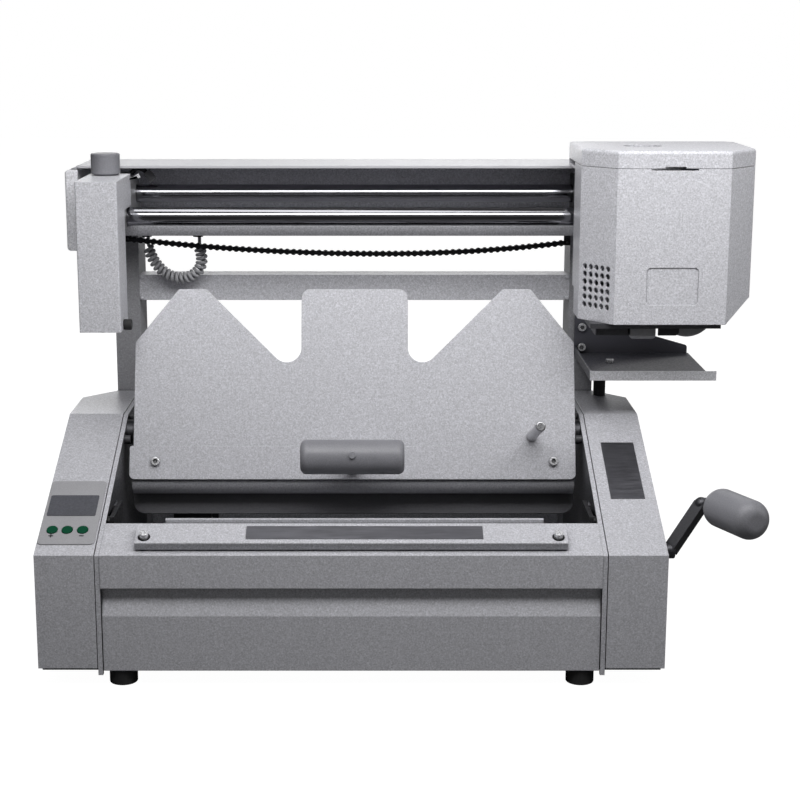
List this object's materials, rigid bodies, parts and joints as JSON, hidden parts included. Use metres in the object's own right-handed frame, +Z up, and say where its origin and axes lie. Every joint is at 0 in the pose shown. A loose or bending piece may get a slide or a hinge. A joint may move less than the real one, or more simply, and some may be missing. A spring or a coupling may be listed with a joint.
{
  "type": "desktop thermal binding machine",
  "caption": "Desktop glue binding machine: flip-over book clamp, milling and glue carriages on twin rails, nip lever, chip drawer and side control panel.",
  "frame": {"origin": "bottom centre of the bounding box, at the level of the feet", "axes": "+X to the operator's right, +Y towards the back, +Z up"},
  "size_m": [0.5077, 0.3131, 0.361],
  "materials": {
    "grey_paint": "fine hammered silver-grey enamel",
    "dark_steel": "dark satin",
    "bright_steel": "bright machined",
    "black_steel": "blackened",
    "chrome": "polished",
    "aluminium": "as cast",
    "rubber": "matte",
    "dark_plate": "bare",
    "fascia": "satin film",
    "window": "glossy",
    "board": "circuit board",
    "green": "soft key",
    "grip": "moulded grey",
    "cord": "grey sheath",
    "black_plastic": "moulded"
  },
  "bodies": {
    "frame": {"base_pan": "dark_steel", "rubber_feet": "rubber", "right_side_plate": "grey_paint", "left_side_plate": "grey_paint", "left_housing": "grey_paint", "right_housing": "grey_paint", "rear_panel": "grey_paint", "front_table": "grey_paint", "stop_bar": "grey_paint", "bar_spacers": "dark_steel", "frame_screws": "bright_steel", "bare_plates": "dark_plate", "left_post": "grey_paint", "right_post": "grey_paint", "crossbar": "grey_paint", "rail_beam": "grey_paint", "end_caps": "grey_paint", "rails": "chrome", "control_fascia": "fascia", "display_window": "window", "control_board": "board", "drip_tray": "grey_paint", "tray_buffer": "rubber", "link_chain": "black_steel", "chain_hooks": "dark_steel", "curly_cord": "cord", "cord_glands": "black_plastic", "power_inlet": "black_plastic"},
    "clamp": {"wing_plate": "grey_paint", "clamp_bar": "grey_paint", "clamp_arms": "dark_steel", "trunnions": "dark_steel", "wing_screws": "bright_steel", "flip_pin": "bright_steel", "jaw_guides": "bright_steel"},
    "handle": {"clamp_screw": "bright_steel", "handle_grip": "grip"},
    "jaw": {"rear_jaw": "black_steel"},
    "lever": {"lever_shaft": "bright_steel", "lever_arm": "dark_steel", "lever_grip": "grip"},
    "nip": {"nip_plate": "grey_paint"},
    "mill": {"mill_cover": "grey_paint", "mill_block": "aluminium", "mill_motor": "dark_steel", "mill_bumper": "rubber"},
    "cutter": {"cutter": "bright_steel"},
    "mill_knob": {"mill_knob": "grip"},
    "pot": {"pot_body": "grey_paint", "pot_tank": "aluminium", "glue_outlet": "dark_steel", "roller_sides": "dark_steel", "pot_base": "black_steel", "pot_bracket": "aluminium"},
    "lid": {"pot_lid": "grey_paint"},
    "roller": {"glue_roller": "aluminium"},
    "drawer": {"waste_drawer": "grey_paint"},
    "button_1": {"button_1": "green"},
    "button_2": {"button_2": "green"},
    "button_3": {"button_3": "green"}
  },
  "joints": [
    {"name": "clamp_flip", "type": "hinge", "parent": "frame", "child": "clamp", "pos_m": [-0.03745, 0.02196, 0.146], "axis": [-1, 0, 0], "range_deg": [0, 160.6]},
    {"name": "handle_turn", "type": "hinge", "parent": "clamp", "child": "handle", "pos_m": [-0.03745, 0.01366, 0.12242], "axis": [0, 0.9432, -0.3322], "range_deg": [-675, 2880]},
    {"name": "jaw_slide", "type": "slide", "parent": "clamp", "child": "jaw", "axis": [0, 0.9432, -0.3322], "range_m": [-0.0075, 0.032]},
    {"name": "lever_turn", "type": "hinge", "parent": "frame", "child": "lever", "pos_m": [-0.03745, -0.10404, 0.091], "axis": [1, 0, 0], "range_deg": [0, 75]},
    {"name": "nip_slide", "type": "slide", "parent": "frame", "child": "nip", "axis": [0, 1, 0], "range_m": [0, 0.01309]},
    {"name": "mill_slide", "type": "slide", "parent": "frame", "child": "mill", "axis": [1, 0, 0], "range_m": [0, 0.318]},
    {"name": "cutter_spin", "type": "hinge", "parent": "mill", "child": "cutter", "pos_m": [-0.2222, 0.01046, 0.2264], "axis": [0, 0, 1], "continuous": true},
    {"name": "depth_knob_turn", "type": "hinge", "parent": "mill", "child": "mill_knob", "pos_m": [-0.22375, 0.05196, 0.3375], "axis": [0, 0, 1], "range_deg": [-180, 180]},
    {"name": "pot_slide", "type": "slide", "parent": "frame", "child": "pot", "axis": [1, 0, 0], "range_m": [-0.318, 0]},
    {"name": "lid_hinge", "type": "hinge", "parent": "pot", "child": "lid", "pos_m": [0.19055, 0.08356, 0.3485], "axis": [-1, 0, 0], "range_deg": [0, 100]},
    {"name": "roller_spin", "type": "hinge", "parent": "pot", "child": "roller", "pos_m": [0.20585, 0.00496, 0.2458], "axis": [0, 1, 0], "continuous": true},
    {"name": "drawer_slide", "type": "slide", "parent": "frame", "child": "drawer", "axis": [0, -1, 0], "range_m": [0, 0.14]},
    {"name": "button_1_press", "type": "slide", "parent": "frame", "child": "button_1", "axis": [0, 0.3754, -0.9269], "range_m": [0, 0.0012], "stiffness_N_per_m": 400, "springref_m": -0.0005},
    {"name": "button_2_press", "type": "slide", "parent": "frame", "child": "button_2", "axis": [0, 0.3754, -0.9269], "range_m": [0, 0.0012], "stiffness_N_per_m": 400, "springref_m": -0.0005},
    {"name": "button_3_press", "type": "slide", "parent": "frame", "child": "button_3", "axis": [0, 0.3754, -0.9269], "range_m": [0, 0.0012], "stiffness_N_per_m": 400, "springref_m": -0.0005}
  ],
  "couplings": [
    {"joint": "handle_turn", "follows": "jaw_slide", "rad_per_m": 1570.8},
    {"joint": "nip_slide", "follows": "lever_turn", "m_per_rad": 0.01}
  ]
}
